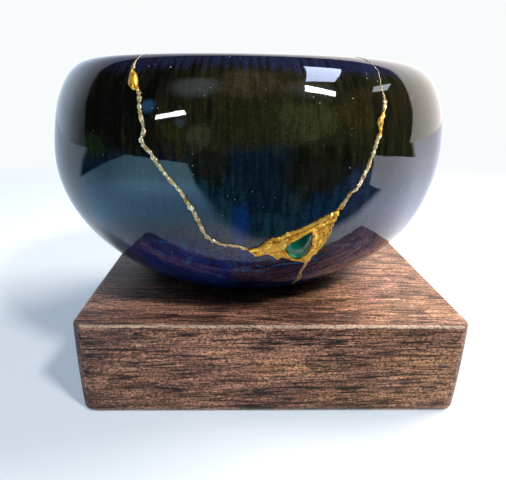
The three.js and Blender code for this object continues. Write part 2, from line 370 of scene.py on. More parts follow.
def cutWith(obj, cutter, operation):
    modifier = obj.modifiers.new("cut", "BOOLEAN")
    modifier.operation = operation
    modifier.solver = "EXACT"
    modifier.object = cutter
    applyModifiers(obj)
    bpy.data.objects.remove(cutter)


def sharpenEdges(obj, angle):
    bm = bmesh.new()
    bm.from_mesh(obj.data)
    for face in bm.faces:
        face.smooth = True
    for edge in bm.edges:
        if len(edge.link_faces) == 2:
            edge.smooth = edge.calc_face_angle(0.0) < math.radians(angle)
    bm.to_mesh(obj.data)
    bm.free()


def addNode(tree, kind, inputs=None, **settings):
    made = tree.nodes.new("ShaderNode" + kind)
    for key, value in settings.items():
        setattr(made, key, value)
    for key, value in (inputs or {}).items():
        if isinstance(value, bpy.types.NodeSocket):
            tree.links.new(value, made.inputs[key])
        else:
            made.inputs[key].default_value = value
    return made


def calc(tree, operation, a, b=0.0, clamp=False):
    made = addNode(tree, "Math", {0: a, 1: b}, operation=operation, use_clamp=clamp)
    return made.outputs[0]


def spread(tree, value, low, high, toLow=0.0, toHigh=1.0):
    # a value between low and high, eased to run from toLow to toHigh
    made = addNode(tree, "MapRange", {0: value, 1: low, 2: high, 3: toLow, 4: toHigh},
                   interpolation_type="SMOOTHSTEP")
    return made.outputs[0]


def blendColours(tree, share, a, b, how="MIX"):
    made = addNode(tree, "Mix", {0: share, 6: a, 7: b}, data_type="RGBA", blend_type=how)
    return made.outputs[2]


def noiseOn(tree, vector, scale, detail=3.0, rough=0.5, twist=0.0):
    made = addNode(tree, "TexNoise", {
        "Vector": vector, "Scale": scale, "Detail": detail, "Roughness": rough, "Distortion": twist,
    })
    return made.outputs[0]


def placed(tree, location=(0, 0, 0), scale=(1, 1, 1), turn=(0, 0, 0)):
    coordinates = addNode(tree, "TexCoord").outputs["Object"]
    made = addNode(tree, "Mapping", {
        "Vector": coordinates, "Location": location, "Scale": scale,
        "Rotation": [math.radians(part) for part in turn],
    })
    return made.outputs[0]


def bumpFrom(tree, height, distance, strength=1.0, under=None):
    made = addNode(tree, "Bump", {"Height": height, "Distance": distance, "Strength": strength})
    if under is not None:
        tree.links.new(under, made.inputs["Normal"])
    return made.outputs[0]


def newMaterial(name, **values):
    material = bpy.data.materials.new(name)
    material.use_nodes = True
    tree = material.node_tree
    shader = tree.nodes["Principled BSDF"]
    for key, value in values.items():
        shader.inputs[key.replace("_", " ")].default_value = value
    return material, tree, shader


def rgb(red, green, blue):
    return (red, green, blue, 1)


glaze = {
    "cobalt": rgb(0.001, 0.014, 0.105),
    "violet": rgb(0.003, 0.005, 0.03),
    "feather": rgb(0.006, 0.06, 0.15),
    "teal": rgb(0.006, 0.024, 0.036),
    "deepBlue": rgb(0.003, 0.014, 0.034),
    "olive": rgb(0.014, 0.0135, 0.0055),
    "moss": rgb(0.01, 0.0125, 0.0045),
    "soot": rgb(0.004, 0.0045, 0.004),
    "lipNavy": rgb(0.01, 0.012, 0.034),
    "speck": rgb(0.4, 0.44, 0.44),
    "roughness": 0.03,
    # where one colour gathered as the glaze ran:
    # degrees from the front, mm above the foot, half width in degrees, half height in mm, colour, share
    "pools": [
        [-34, 36, 18, 9, (0.004, 0.018, 0.036), 0.8],
        [3, 38, 9, 11, (0.0022, 0.009, 0.018), 0.95],
        [-1.5, 26, 2.6, 8, (0.003, 0.022, 0.1), 0.85],
        [-34, 52, 15, 11, (0.003, 0.0035, 0.003), 0.95],
        [-38, 43.5, 5, 3.2, (0.012, 0.028, 0.009), 0.8],
        [2, 50, 9, 6, (0.0125, 0.014, 0.0045), 0.85],
        [0, 57.4, 9, 3.0, (0.032, 0.026, 0.013), 0.8],
        [13, 50, 9, 5, (0.026, 0.031, 0.012), 0.85],
        [24, 52, 6, 5, (0.02, 0.016, 0.005), 0.85],
        [37, 53, 8, 7, (0.012, 0.01, 0.005), 0.85],
        [-10, 46.3, 3.2, 3.4, (0.04, 0.046, 0.022), 0.75],
        [-15.5, 48, 3.6, 2.6, (0.018, 0.02, 0.005), 0.8],
        [-7.5, 41, 4, 5.5, (0.006, 0.0065, 0.005), 0.85],
        [15, 39.5, 8, 6.5, (0.0055, 0.0065, 0.004), 0.94],
        [27, 34, 6, 6, (0.014, 0.023, 0.055), 0.8],
        [8, 12, 13, 8, (0.002, 0.003, 0.02), 0.85],
        [38, 20, 16, 12, (0.012, 0.014, 0.05), 0.7],
    ],
}


def makeGlaze():
    material, tree, shader = newMaterial("glaze", Roughness=glaze["roughness"], IOR=1.52)
    place = placed(tree, location=(-bowl["axisX"] * mm, 0, -plinthTop * mm))
    axes = addNode(tree, "SeparateXYZ", {0: place})
    flat = addNode(tree, "CombineXYZ", {0: axes.outputs[0], 1: axes.outputs[1]}).outputs[0]
    spoke = addNode(tree, "VectorMath", {0: flat}, operation="NORMALIZE").outputs[0]
    belt = addNode(tree, "VectorMath", {0: spoke, "Scale": 0.058}, operation="SCALE").outputs[0]
    beltAxes = addNode(tree, "SeparateXYZ", {0: belt})
    slow = calc(tree, "MULTIPLY", axes.outputs[2], 0.14)
    runs = addNode(tree, "CombineXYZ", {0: beltAxes.outputs[0], 1: beltAxes.outputs[1], 2: slow}).outputs[0]
    streaks = noiseOn(tree, runs, 900, 5, 0.68)
    broad = noiseOn(tree, runs, 62, 4, 0.6)
    clouds = noiseOn(tree, place, 42, 4, 0.6, 0.4)
    ragged = noiseOn(tree, place, 210, 5, 0.65, 0.6)
    grain = noiseOn(tree, place, 2300, 2, 0.6)

    # height above the foot, in metres, with borders that wander as the glaze ran
    wander = calc(tree, "MULTIPLY", calc(tree, "SUBTRACT", clouds, 0.5), 0.03)
    runny = calc(tree, "MULTIPLY", calc(tree, "SUBTRACT", streaks, 0.5), 0.012)
    height = calc(tree, "ADD", axes.outputs[2], calc(tree, "ADD", wander, runny))

    low = blendColours(tree, spread(tree, clouds, 0.42, 0.6), glaze["cobalt"], glaze["violet"])
    blue = blendColours(tree, spread(tree, broad, 0.42, 0.62), glaze["deepBlue"], glaze["teal"])
    browning = calc(tree, "ADD", calc(tree, "MULTIPLY", streaks, 0.4), calc(tree, "MULTIPLY", broad, 0.6))
    dark = blendColours(tree, spread(tree, browning, 0.4, 0.6), glaze["soot"], glaze["olive"])
    dark = blendColours(tree, spread(tree, clouds, 0.5, 0.66, 0, 0.7), dark, glaze["moss"])
    colour = blendColours(tree, spread(tree, height, 0.017, 0.026), low, blue)
    colour = blendColours(tree, spread(tree, height, 0.033, 0.044), colour, dark)

    backward = calc(tree, "MULTIPLY", axes.outputs[1], -1.0)
    turn = calc(tree, "MULTIPLY", calc(tree, "ARCTAN2", axes.outputs[0], backward), math.degrees(1))
    rise = calc(tree, "DIVIDE", axes.outputs[2], mm)
    spot = addNode(tree, "CombineXYZ", {0: turn, 1: rise}).outputs[0]
    frayed = calc(tree, "ADD", calc(tree, "MULTIPLY", ragged, 1.9), calc(tree, "MULTIPLY", streaks, 0.9))
    frayed = calc(tree, "SUBTRACT", frayed, 1.4)
    for angle, level, across, up, tint, most in glaze["pools"]:
        offset = addNode(tree, "VectorMath", {0: spot, 1: (-angle, -level, 0)}, operation="ADD").outputs[0]
        offset = addNode(tree, "VectorMath", {0: offset, 1: (1 / across, 1 / up, 0)}, operation="MULTIPLY").outputs[0]
        away = addNode(tree, "VectorMath", {0: offset}, operation="LENGTH").outputs["Value"]
        away = calc(tree, "ADD", away, frayed)
        colour = blendColours(tree, spread(tree, away, 0.55, 1.1, most, 0.0), colour, rgb(*tint))

    # lighter wisps low down, and the dark blue that gathered under the lip
    wisps = noiseOn(tree, placed(tree, scale=(1, 1, 2.2), turn=(0, 35, 0)), 110, 4, 0.62, 1.2)
    wispShare = calc(tree, "MULTIPLY", spread(tree, wisps, 0.57, 0.64, 0, 0.75),
                     spread(tree, axes.outputs[2], 0.019, 0.025, 1.0, 0.0))
    colour = blendColours(tree, wispShare, colour, glaze["feather"])
    lipEdge = calc(tree, "ADD", axes.outputs[2], calc(tree, "MULTIPLY", wander, 0.14))
    lipEdge = calc(tree, "ADD", lipEdge, calc(tree, "MULTIPLY", runny, 0.5))
    colour = blendColours(tree, spread(tree, lipEdge, 0.0592, 0.0618), colour, glaze["lipNavy"])
    for value, low, high in ((grain, 0.7, 1.35), (streaks, 0.55, 1.45)):
        shade = spread(tree, value, 0.3, 0.7, low, high)
        shade = addNode(tree, "CombineColor", {0: shade, 1: shade, 2: shade}).outputs[0]
        colour = blendColours(tree, 1.0, colour, shade, "MULTIPLY")
    cells = addNode(tree, "TexVoronoi", {"Vector": place, "Scale": 800.0, "Randomness": 1.0})
    pick = addNode(tree, "SeparateColor", {0: cells.outputs["Color"]}).outputs[0]
    speckSize = spread(tree, pick, 0.6, 1.0, 0.0, 0.11)
    specks = calc(tree, "LESS_THAN", cells.outputs["Distance"], speckSize)
    colour = blendColours(tree, calc(tree, "MULTIPLY", specks, 0.55), colour, glaze["speck"])
    tree.links.new(colour, shader.inputs["Base Color"])
    swells = bumpFrom(tree, noiseOn(tree, place, 130, 2, 0.4), 0.00006)
    pits = bumpFrom(tree, noiseOn(tree, place, 1700, 2, 0.5), 0.0000012, under=swells)
    tree.links.new(pits, shader.inputs["Normal"])
    return material


glazeFinish = makeGlaze()


def makeGlazedPieces():
    body = makeObject("glazedBody", turnedBowl())
    shard = body.copy()
    shard.data = body.data.copy()
    shard.name = "glazedShard"
    bpy.context.scene.collection.objects.link(shard)
    cutWith(body, wedgeAbove("bodyCutter", breakEdge(-1, mend["settingBottom"], 1)), "DIFFERENCE")
    cutWith(shard, wedgeAbove("shardCutter", breakEdge(1, mend["settingTop"], -1)), "INTERSECT")
    for piece, node in ((body, "bowl_body"), (shard, "front_shard")):
        sharpenEdges(piece, 35)
        piece.data.materials.clear()
        piece.data.materials.append(glazeFinish)
        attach(piece, "root")
        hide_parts(node)
    return body, shard


glazedBody, glazedShard = makeGlazedPieces()
print("bowl and shard turned and cut", len(glazedBody.data.polygons), len(glazedShard.data.polygons))


gold = {
    "cream": rgb(0.95, 0.78, 0.46),
    "ochre": rgb(0.4, 0.24, 0.07),
    "orange": rgb(0.9, 0.38, 0.025),
    "amber": rgb(1.0, 0.58, 0.06),
    "glint": rgb(1.0, 0.9, 0.62),
    "seamRadius": 0.31,
    "strandRadius": 0.2,
    "strandSwing": 0.42,
    "strandPitch": 3.4,
    "voxel": 0.155,
    "crumple": 0.05,
    "tail": [[16.6, 18.6, 0.9], [17.2, 15.6, 0.75], [17.3, 12.6, 0.55], [17.9, 11.2, 0.75],
             [18.8, 9.6, 1.5], [19.2, 8.4, 1.3], [19.8, 6.8, 0.5], [21.0, 5.0, 0.36], [22.4, 3.2, 0.22]],
    "settingProud": 0.45,
    "settingDeep": 1.6,
}


def flatPlace(place):
    # degrees and mm on the wall, both as mm on a flat sheet
    return Vector((place[0] * mmPerDegree, place[1]))


def smoothRoute(path, spacing=0.35):
    # an even run of places along a path, rounded at its corners
    route = []
    for index in range(len(path) - 1):
        before = Vector(path[max(index - 1, 0)])
        start, end = Vector(path[index]), Vector(path[index + 1])
        after = Vector(path[min(index + 2, len(path) - 1)])
        length = (flatPlace(end) - flatPlace(start)).length
        steps = max(1, round(length / spacing))
        for step in range(steps):
            t = step / steps
            route.append(0.5 * (2 * start + (end - before) * t
                         + (2 * before - 5 * start + 4 * end - after) * t * t
                         + (3 * start - before - 3 * end + after) * t**3))
    route.append(Vector(path[-1]))
    return route


def elevationAtRow(angle, row):
    place = placeOn(angle, row)
    radius = math.hypot(place.x - bowl["axisX"], place.y)
    return math.degrees(math.atan2(place.z - plinthTop - bowl["cutCentre"], radius))


def insideRowFor(angle, height):
    # the inner wall's row straight behind a place on the outside, seen from the cut centre
    wanted = elevationAtRow(angle, rowAt(angle, height))
    low, high = float(firstInnerRow), float(firstInnerRow + wallRows)
    for _ in range(12):
        middle = (low + high) / 2
        if elevationAtRow(angle, middle) > wanted:
            low = middle
        else:
            high = middle
    return (low + high) / 2


def wallFrame(angle, row):
    # a place on the bowl with its normal and its sideways direction
    place = placeOn(angle, row)
    normal = normalOn(angle, row)
    around = (placeOn(angle + 0.25, row) - placeOn(angle - 0.25, row)).normalized()
    return place, normal, around


def seamFrames(path):
    # places along a seam: up the outside, over the lip and down the inside
    route = smoothRoute(path)
    frames = [wallFrame(angle, rowAt(angle, height)) for angle, height in route]
    angle, height = route[-1]
    row = rowAt(angle, height)
    lastRow = insideRowFor(angle, height)
    while row < lastRow:
        frames.append(wallFrame(angle, row))
        row += 0.35 if lipRow - 0.5 < row < firstInnerRow + 0.5 else 0.2
    for angle, height in reversed(route):
        frames.append(wallFrame(angle, insideRowFor(angle, height)))
    return frames


def addTube(bm, points, radii):
    curve = bpy.data.curves.new("tube", "CURVE")
    curve.dimensions = "3D"
    curve.bevel_depth = 1.0
    curve.bevel_resolution = 2
    curve.use_fill_caps = True
    spline = curve.splines.new("POLY")
    spline.points.add(len(points) - 1)
    for knot, point, radius in zip(spline.points, points, radii):
        knot.co = (point.x, point.y, point.z, 1)
        knot.radius = radius
    obj = bpy.data.objects.new("tube", curve)
    bpy.context.scene.collection.objects.link(obj)
    bpy.context.view_layer.update()
    mesh = bpy.data.meshes.new_from_object(obj.evaluated_get(bpy.context.evaluated_depsgraph_get()))
    bm.from_mesh(mesh)
    bpy.data.objects.remove(obj)
    bpy.data.curves.remove(curve)
    bpy.data.meshes.remove(mesh)


def addBead(bm, centre, radius, stretch=(1, 1, 1), turn=None):
    made = bmesh.ops.create_icosphere(bm, subdivisions=2, radius=1.0)
    size = Matrix.Diagonal(Vector(stretch) * radius).to_4x4()
    if turn is not None:
        size = turn.to_4x4() @ size
    bmesh.ops.transform(bm, matrix=Matrix.Translation(centre) @ size, verts=made["verts"])


def addSeam(bm, path, draw, thinAbove):
    # past the height thinAbove the gold dwindles to a hair, and so it crosses the lip
    frames = seamFrames(path)
    inner = len(frames) * 0.52
    points, radii = [], []
    strands = [([], []) for _ in range(2)]
    travelled = 0.0
    for index, (place, normal, around) in enumerate(frames):
        if index:
            travelled += (place - frames[index - 1][0]).length
        full = 1 - max(0.0, min(1.0, (place.z - plinthTop - thinAbove) / 2.2))
        quiet = 0.75 if index > inner else 1.0      # the inside is plainer
        rough = noise.noise(place * 1.1) * 0.12
        points.append(place + around * noise.noise(place * 0.9 + Vector((4, 4, 4))) * 0.2 - normal * 0.05)
        radii.append(lerp(0.17, (gold["seamRadius"] + rough) * quiet, full))
        for number, (track, widths) in enumerate(strands):
            turn = travelled * 2 * math.pi / gold["strandPitch"] + number * math.pi
            turn += noise.noise(place * 0.35) * 2.5
            swing = gold["strandSwing"] * (1 + noise.noise(place * 0.6 + Vector((0, 7, 0))) * 0.7) * full
            lift = (0.2 + math.cos(turn) * 0.16) * full
            track.append(place + around * math.sin(turn) * swing + normal * lift)
            widths.append(lerp(0.1, gold["strandRadius"] * quiet * (1 + noise.noise(place * 1.7) * 0.5), full))
    addTube(bm, points, radii)
    for track, widths in strands:
        addTube(bm, track, widths)
    for index in range(4, len(frames) - 4):
        if draw.random() > 0.24:
            continue
        place, normal, around = frames[index]
        side = draw.uniform(-1, 1)
        size = draw.uniform(0.12, 0.34)
        if place.z - plinthTop > thinAbove + 0.5:
            continue
        addBead(bm, place + around * side * 0.35 + normal * draw.uniform(0.05, 0.25), size,
                (draw.uniform(0.8, 1.5), draw.uniform(0.8, 1.5), 1))


def isInside(point, outline):
    within = False
    for start, end in zip(outline, outline[1:] + outline[:1]):
        if (start.y > point.y) != (end.y > point.y):
            crossing = start.x + (point.y - start.y) * (end.x - start.x) / (end.y - start.y)
            within ^= point.x < crossing
    return within


def gapTo(point, path):
    nearest = 1e9
    for start, end in zip(path, path[1:]):
        along = end - start
        share = max(0.0, min(1.0, (point - start).dot(along) / along.length_squared))
        nearest = min(nearest, (start + along * share - point).length)
    return nearest


def hump(distance, centre, width):
    return math.exp(-((distance - centre) / width) ** 2)


settingTop = [flatPlace(place) for place in [mend["leftSeam"][-1]] + mend["settingTop"] + [mend["rightSeam"][0]]]
settingBottom = [flatPlace(place) for place in
                 [mend["leftSeam"][-1]] + mend["settingBottom"] + [mend["rightSeam"][0]]]
settingOutline = settingTop + settingBottom[-2:0:-1]
stoneOutline = [flatPlace(place) for place in mend["stone"]]


def settingRelief(point):
    # how far the gold stands out at a place on the flat sheet
    fromTop = gapTo(point, settingTop)
    fromBottom = gapTo(point, settingBottom)
    fromStone = gapTo(point, stoneOutline + stoneOutline[:1])
    leftPart = max(0.0, min(1.0, (flatPlace((9.0, 0)).x - point.x) / 2.5))
    rightPart = max(0.0, min(1.0, (point.x - flatPlace((15.6, 0)).x) / 1.5))
    out = gold["settingProud"]
    out += 0.45 * hump(fromTop, 0.55, 0.26) + 0.42 * hump(fromTop, 1.6, 0.3) - 0.3 * hump(fromTop, 1.08, 0.22)
    out += 0.3 * hump(fromBottom, 0.5, 0.26)
    out += (0.4 + 0.35 * rightPart) * hump(fromStone, 0.3, 0.3 + 0.25 * rightPart)
    ribs = math.sin(fromTop * 5.2 + noise.noise(Vector((point.x * 0.5, point.y * 0.5, 2))) * 2.5)
    out += 0.12 * leftPart * ribs
    folded = noise.noise(Vector((point.x * 1.1, point.y * 1.1, 5.0)))
    creased = 1 - abs(noise.noise(Vector((point.x * 0.95, point.y * 0.95, 9.0)))) * 3.2
    out += rightPart * (0.28 * folded + 0.3 * max(0.0, creased))
    out += 0.1 * noise.noise(Vector((point.x * 2.6, point.y * 2.6, 1.0)))
    out = lerp(0.1, out, min(1.0, min(fromTop, fromBottom) / 0.5))      # thin where it laps the glaze
    if isInside(point, stoneOutline):
        out = min(out, lerp(gold["settingProud"], -0.3, min(1, fromStone / 0.5)))
    return out


def addSetting(bm):
    for inside in (False, True):
        part = bmesh.new()
        lows = Vector((min(p.x for p in settingOutline), min(p.y for p in settingOutline)))
        highs = Vector((max(p.x for p in settingOutline), max(p.y for p in settingOutline)))
        spacing = 0.4 if inside else 0.17
        across = round((highs.x - lows.x) / spacing)
        up = round((highs.y - lows.y) / spacing)
        bmesh.ops.create_grid(part, x_segments=across, y_segments=up, size=0.5)
        bmesh.ops.scale(part, vec=(highs.x - lows.x, highs.y - lows.y, 1), verts=part.verts)
        middle = (lows + highs) / 2
        bmesh.ops.translate(part, vec=(middle.x, middle.y, 0), verts=part.verts)
        outside = [vert for vert in part.verts if not isInside(vert.co.xy, settingOutline)]
        bmesh.ops.delete(part, geom=outside, context="VERTS")
        loose = [vert for vert in part.verts if not vert.link_faces]
        bmesh.ops.delete(part, geom=loose, context="VERTS")
        for vert in part.verts:
            angle, height = vert.co.x / mmPerDegree, vert.co.y
            if inside:
                row = insideRowFor(angle, height)
                out = 0.35 + 0.12 * noise.noise(Vector((vert.co.x, vert.co.y, 3.0)))
            else:
                row = rowAt(angle, height)
                out = settingRelief(vert.co.xy)
            vert.co = placeOn(angle, row) + normalOn(angle, row) * out
        bmesh.ops.recalc_face_normals(part, faces=part.faces)
        outward = part.faces[0].normal.dot(part.faces[0].calc_center_median() - Vector((bowl["axisX"], 0, 66)))
        if (outward < 0) != inside:
            bmesh.ops.reverse_faces(part, faces=part.faces)
        bmesh.ops.solidify(part, geom=part.faces, thickness=gold["settingDeep"])
        mesh = bpy.data.meshes.new("setting")
        part.to_mesh(mesh)
        part.free()
        bm.from_mesh(mesh)
        bpy.data.meshes.remove(mesh)


def addRim(bm, path, radius, out, spacing=0.3, wave=0.3):
    points, radii = [], []
    for angle, height in smoothRoute(path, spacing):
        place = onWall(angle, height, out)
        points.append(place + normalOn(angle, rowAt(angle, height)) * noise.noise(place * 0.8) * 0.15)
        radii.append(radius * (1 + wave * noise.noise(place * 1.3)))
    addTube(bm, points, radii)


def addGoldDetails(bm, draw):
    tailPath = [place[:2] for place in gold["tail"]]
    route = smoothRoute(tailPath, 0.3)
    flatTail = [flatPlace(place) for place in tailPath]
    points, radii = [], []
    for angle, height in route:
        here = flatPlace((angle, height))
        near = sorted(range(len(flatTail)), key=lambda index: (flatTail[index] - here).length)[:2]
        gaps = [(flatTail[index] - here).length + 1e-6 for index in near]
        width = (gold["tail"][near[0]][2] * gaps[1] + gold["tail"][near[1]][2] * gaps[0]) / sum(gaps)
        points.append(onWall(angle, height, -width * 0.72))
        radii.append(width)
    addTube(bm, points, radii)
    addRim(bm, shiftedPath(mend["settingTop"], -0.5), 0.22, 0.62)
    addRim(bm, shiftedPath(mend["settingBottom"][:9], 0.45), 0.18, 0.55)
    addRim(bm, mend["stone"] + mend["stone"][:2], 0.24, 0.8, 0.25)
    for angle, height in ((20.2, 25.6), (20.3, 27.2), (19.2, 22.6), (17.8, 19.4), (9.4, 26.0)):
        addBead(bm, onWall(angle, height, 0.1), draw.uniform(0.25, 0.36))
    for _ in range(90):
        angle = draw.uniform(3, 20.5)
        height = draw.uniform(17, 31)
        point = flatPlace((angle, height))
        if not isInside(point, settingOutline) or isInside(point, stoneOutline):
            continue
        addBead(bm, onWall(angle, height, settingRelief(point) + 0.02), draw.uniform(0.1, 0.22),
                (draw.uniform(0.8, 1.8), draw.uniform(0.8, 1.8), 0.8))


def addPod(bm, angle, height, across, along, out, lean):
    place, normal, around = wallFrame(angle, rowAt(angle, height))
    upward = normal.cross(around).normalized()
    if upward.z < 0:
        upward = -upward
    turn = math.radians(lean)
    long = upward * math.cos(turn) - around * math.sin(turn)
    wide = long.cross(normal)
    frameTurn = Matrix((wide, long, normal)).transposed()
    addBead(bm, place, 1.0, (across, along, out), frameTurn)


def makeGold():
    draw = random.Random(11)
    bm = bmesh.new()
    addSeam(bm, mend["leftSeam"][::-1], draw, 60.2)
    addSeam(bm, mend["rightSeam"], draw, 54.2)
    addSetting(bm)
    addGoldDetails(bm, draw)
    addPod(bm, -26.8, 57.7, 1.15, 2.5, 1.0, 24)
    addPod(bm, -27.6, 57.3, 0.5, 0.9, 0.7, 10)
    addPod(bm, 29.9, 49.9, 0.75, 1.2, 0.8, -18)
    mesh = bpy.data.meshes.new("goldMend")
    bm.to_mesh(mesh)
    bm.free()
    obj = bpy.data.objects.new("goldMend", mesh)
    bpy.context.scene.collection.objects.link(obj)
    remesh = obj.modifiers.new("remesh", "REMESH")
    remesh.mode = "VOXEL"
    remesh.voxel_size = gold["voxel"]
    remesh.use_smooth_shade = True
    smooth = obj.modifiers.new("smooth", "SMOOTH")
    smooth.factor = 0.5
    smooth.iterations = 1
    applyModifiers(obj)
    bm = bmesh.new()
    bm.from_mesh(obj.data)
    for vert in bm.verts:
        grit = noise.noise(vert.co * 3.1) * 0.6 + noise.noise(vert.co * 1.3) * 0.5
        vert.co += vert.normal * grit * gold["crumple"]
    bmesh.ops.scale(bm, vec=(mm, mm, mm), verts=bm.verts)
    bm.to_mesh(obj.data)
    bm.free()
    return obj


goldMend = makeGold()
print("gold mend made", len(goldMend.data.polygons))


def makeGoldFinish():
    material, tree, shader = newMaterial("kintsugiGold", Metallic=0.72, Roughness=0.34)
    place = placed(tree)
    patches = noiseOn(tree, place, 420, 3, 0.6)
    fine = noiseOn(tree, place, 2600, 2, 0.6)
    tone = addNode(tree, "Attribute", attribute_name="tone").outputs["Fac"]
    seamColour = blendColours(tree, spread(tree, patches, 0.4, 0.68), gold["cream"], gold["ochre"])
    settingColour = blendColours(tree, spread(tree, patches, 0.36, 0.6), gold["orange"], gold["amber"])
    colour = blendColours(tree, tone, seamColour, settingColour)
    colour = blendColours(tree, spread(tree, fine, 0.5, 0.7, 0.0, 0.6), colour, gold["ochre"])
    colour = blendColours(tree, spread(tree, fine, 0.44, 0.3, 0.0, 0.6), colour, gold["glint"])
    tree.links.new(colour, shader.inputs["Base Color"])
    rough = spread(tree, patches, 0.3, 0.7, 0.22, 0.42)
    tree.links.new(rough, shader.inputs["Roughness"])
    grit = bumpFrom(tree, fine, 0.00009, 0.8)
    tree.links.new(grit, shader.inputs["Normal"])
    return material


def toneGold(obj):
    # 0 on the seams, 1 on the setting and the pods
    layer = obj.data.attributes.new("tone", "FLOAT", "POINT")
    podPlaces = [onWall(-26.8, 57.7), onWall(29.9, 49.9)]
    for vert, item in zip(obj.data.vertices, layer.data):
        place = vert.co / mm
        turn = math.degrees(math.atan2(place.x - bowl["axisX"], -place.y))
        point = flatPlace((turn, place.z - plinthTop))
        within = isInside(point, settingOutline) or gapTo(point, settingTop) < 0.8
        pod = any((place - podPlace).length < 2.9 for podPlace in podPlaces)
        item.value = 1.0 if within or pod else 0.0


toneGold(goldMend)
goldMend.data.materials.append(makeGoldFinish())
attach(goldMend, "root")
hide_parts("gold_mend")


stone = {"out": 1.75, "deep": 1.3, "turns": 64, "rings": 32}


def makeStone():
    bm = bmesh.new()
    bmesh.ops.create_uvsphere(bm, u_segments=stone["turns"], v_segments=stone["rings"], radius=1)
    middle = sum(stoneOutline, Vector((0, 0))) / len(stoneOutline)
    reach = []
    for step in range(360):
        turn = math.radians(step)
        ray = Vector((math.cos(turn), math.sin(turn)))
        low, high = 0.0, 8.0
        for _ in range(14):
            test = (low + high) / 2
            if isInside(middle + ray * test, stoneOutline):
                low = test
            else:
                high = test
        reach.append(low)
    rounded = [sum(reach[(step + shift) % 360] for shift in range(-6, 7)) / 13 for step in range(360)]
    for vert in bm.verts:
        radius = min(1.0, vert.co.xy.length)
        turn = round(math.degrees(math.atan2(vert.co.y, vert.co.x))) % 360
        spot = middle.copy()
        if radius > 1e-6:
            spot += vert.co.xy.normalized() * rounded[turn] * radius
        rise = vert.co.z * (stone["out"] if vert.co.z > 0 else stone["deep"])
        vert.co = onWall(spot.x / mmPerDegree, spot.y, rise)
    bmesh.ops.recalc_face_normals(bm, faces=bm.faces)
    return makeObject("greenStone", bm)


def makeStoneFinish():
    material, tree, shader = newMaterial("greenStone", Roughness=0.06, IOR=1.57)
    centre = onWall(12.9, 21.8, 0.6) * mm
    place = placed(tree, location=(-centre.x, -centre.y, -centre.z))
    axes = addNode(tree, "SeparateXYZ", {0: place})
    clouds = noiseOn(tree, place, 420, 4, 0.6, 0.5)
    # painted light: the stone is painted lighter green towards its lower left and darker towards its upper right, as
    # if lit through from the upper right
    slant = calc(tree, "ADD", axes.outputs[0], calc(tree, "MULTIPLY", axes.outputs[2], 0.9))
    slant = calc(tree, "ADD", slant, calc(tree, "MULTIPLY", calc(tree, "SUBTRACT", clouds, 0.5), 0.004))
    colour = blendColours(tree, spread(tree, slant, -0.003, 0.003), rgb(0.005, 0.19, 0.1), rgb(0.002, 0.032, 0.028))
    # painted glow: a bright green spot painted low on the left of the stone, where light coming through it would
    # gather
    glow = onWall(11.3, 19.9, 1.0) * mm
    fromPaintedGlow = placed(tree, location=(-glow.x, -glow.y, -glow.z))
    distance = addNode(tree, "VectorMath", {0: fromPaintedGlow}, operation="LENGTH").outputs["Value"]
    colour = blendColours(tree, spread(tree, distance, 0.0004, 0.0017, 0.9, 0.0), colour, rgb(0.08, 0.75, 0.4))
    veins = noiseOn(tree, place, 1500, 3, 0.6)
    colour = blendColours(tree, spread(tree, veins, 0.55, 0.72, 0, 0.35), colour, rgb(0.1, 0.3, 0.26))
    tree.links.new(colour, shader.inputs["Base Color"])
    return material


greenStone = makeStone()
greenStone.data.materials.append(makeStoneFinish())
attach(greenStone, "root")
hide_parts("green_stone")
print("stone set")


plinth = {
    "side": 102,
    "height": 26,
    "cornerRadius": 4,
    "topEase": 0.8,
    "footEase": 1.3,
    "pulledIn": 0.7,
    "light": rgb(0.3, 0.15, 0.097),
    "mid": rgb(0.18, 0.086, 0.058),
    "dark": rgb(0.085, 0.04, 0.031),
    "warm": rgb(0.3, 0.155, 0.068),
    "paintedEdgeLight": rgb(0.62, 0.48, 0.36),
    "pore": rgb(0.008, 0.005, 0.005),
}


def makePlinth():
    bm = bmesh.new()
    bmesh.ops.create_cube(bm, size=1)
    bmesh.ops.scale(bm, vec=(plinth["side"], plinth["side"], plinth["height"]), verts=bm.verts)
    bmesh.ops.translate(bm, vec=(0, 0, plinth["height"] / 2), verts=bm.verts)
    upright = [edge for edge in bm.edges if abs(edge.verts[0].co.z - edge.verts[1].co.z) > 1]
    bmesh.ops.bevel(bm, geom=upright, offset=plinth["cornerRadius"], affect="EDGES", segments=8,
                    profile=0.5, material=-1)
    for level, ease in ((plinth["height"], plinth["topEase"]), (0, plinth["footEase"])):
        rim = [edge for edge in bm.edges if all(abs(vert.co.z - level) < 0.01 for vert in edge.verts)]
        bmesh.ops.bevel(bm, geom=rim, offset=ease, affect="EDGES", segments=5, profile=0.5, material=-1)
    for drop in (3, 5, 8, 12, 16, 20, 23):
        bmesh.ops.bisect_plane(bm, geom=bm.verts[:] + bm.edges[:] + bm.faces[:],
                               plane_co=(0, 0, drop), plane_no=(0, 0, 1))
    half = plinth["side"] / 2
    for vert in bm.verts:
        share = 1 - vert.co.z / plinth["height"]
        shrink = 1 - plinth["pulledIn"] * share * share / half
        vert.co.x *= shrink
        vert.co.y *= shrink
    bmesh.ops.recalc_face_normals(bm, faces=bm.faces)
    return makeObject("walnutBlock", bm, 30)


def stretched(tree, axes, along, across=None):
    # the same place with its length along the grain shortened
    return addNode(tree, "CombineXYZ", {
        0: calc(tree, "MULTIPLY", axes.outputs[0], along), 1: across or axes.outputs[1], 2: axes.outputs[2],
    }).outputs[0]


